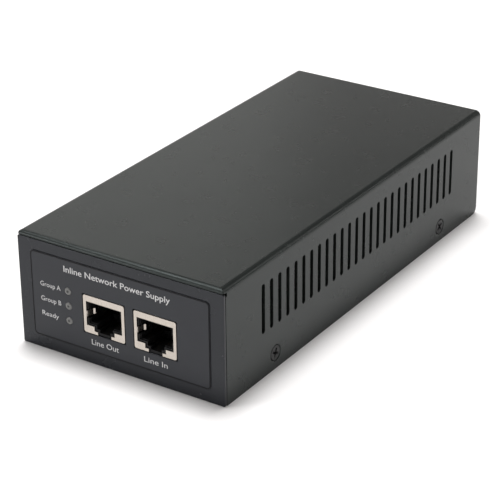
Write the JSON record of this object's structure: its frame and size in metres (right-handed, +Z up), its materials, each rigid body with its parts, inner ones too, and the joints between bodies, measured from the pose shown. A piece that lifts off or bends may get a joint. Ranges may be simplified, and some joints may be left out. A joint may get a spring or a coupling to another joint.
{
  "type": "poe injector",
  "caption": "Mains-fed power injector for network cables: low folded steel case with vented sides, shielded network jacks and status lights at the front, mains inlet at the rear.",
  "frame": {"origin": "middle of the footprint, on the surface that the case stands on", "axes": "+X right seen from the front, +Y from the front panel to the rear panel, +Z up"},
  "size_m": [0.08, 0.1711, 0.041],
  "materials": {
    "powder_coat": "fine-texture black powder coat, satin",
    "label_film": "matt printed polycarbonate film",
    "black_screw": "black zinc, satin",
    "zinc_steel": "zinc plated, satin",
    "jack_shield": "nickel plated, satin",
    "nickel": "nickel plated, bright",
    "contact_gold": "gold plated, bright",
    "brass": "turned brass",
    "circuit_board": "green solder mask, semi-gloss",
    "insulation_sheet": "grey fibre paper, matt",
    "black_plastic": "moulded, fine texture",
    "light_lens": "milky lens, gloss",
    "ferrite": "pressed ferrite, matt",
    "yellow_tape": "polyester tape",
    "copper_wire": "enamelled copper, gloss",
    "heatsink_aluminium": "extruded, plain",
    "capacitor_sleeve": "shrink sleeve, gloss",
    "boxed_film": "moulded box, semi-matt",
    "brown_wire": "wire insulation",
    "blue_wire": "wire insulation",
    "green_wire": "wire insulation"
  },
  "bodies": {
    "case": {"cover_shell": "powder_coat", "base_tray": "powder_coat", "front_label": "label_film", "cover_screw_1": "black_screw", "cover_screw_2": "black_screw", "cover_screw_3": "black_screw", "cover_screw_4": "black_screw", "main_board": "circuit_board", "board_standoff_1": "brass", "board_screw_1": "zinc_steel", "board_standoff_2": "brass", "board_screw_2": "zinc_steel", "board_standoff_3": "brass", "board_screw_3": "zinc_steel", "board_standoff_4": "brass", "board_screw_4": "zinc_steel", "insulation_sheet": "insulation_sheet", "jack_1_shield": "jack_shield", "jack_1_housing": "black_plastic", "jack_2_shield": "jack_shield", "jack_2_housing": "black_plastic", "light_holder": "black_plastic", "status_light_1": "light_lens", "status_light_2": "light_lens", "status_light_3": "light_lens", "line_transformer_1": "black_plastic", "line_transformer_2": "black_plastic", "power_controller": "black_plastic", "output_choke": "ferrite", "output_capacitor_1": "capacitor_sleeve", "output_capacitor_2": "capacitor_sleeve", "output_heatsink": "heatsink_aluminium", "output_rectifier": "black_plastic", "transformer_core": "ferrite", "transformer_coil": "yellow_tape", "opto_coupler": "black_plastic", "bulk_capacitor": "capacitor_sleeve", "switch_heatsink": "heatsink_aluminium", "power_switch": "black_plastic", "bridge_rectifier": "black_plastic", "common_mode_choke": "copper_wire", "choke_base": "black_plastic", "line_capacitor": "boxed_film", "mains_fuse": "black_plastic", "inlet_body": "black_plastic", "line_pin": "nickel", "neutral_pin": "nickel", "earth_pin": "nickel", "inlet_screw_1": "black_screw", "inlet_nut_1": "zinc_steel", "inlet_screw_2": "black_screw", "inlet_nut_2": "zinc_steel", "line_wire": "brown_wire", "neutral_wire": "blue_wire", "earth_wire": "green_wire", "earth_terminal": "nickel", "earth_screw": "zinc_steel"},
    "jack_1_contact_set": {"jack_1_contacts": "contact_gold"},
    "jack_2_contact_set": {"jack_2_contacts": "contact_gold"}
  },
  "joints": [
    {"name": "jack_1_contact_flex", "type": "hinge", "parent": "case", "child": "jack_1_contact_set", "pos_m": [-0.006, -0.08225, 0.02205], "axis": [1, 0, 0], "range_deg": [0, 12], "stiffness_Nm_per_rad": 0.27},
    {"name": "jack_2_contact_flex", "type": "hinge", "parent": "case", "child": "jack_2_contact_set", "pos_m": [0.014, -0.08225, 0.02205], "axis": [1, 0, 0], "range_deg": [0, 12], "stiffness_Nm_per_rad": 0.27}
  ]
}
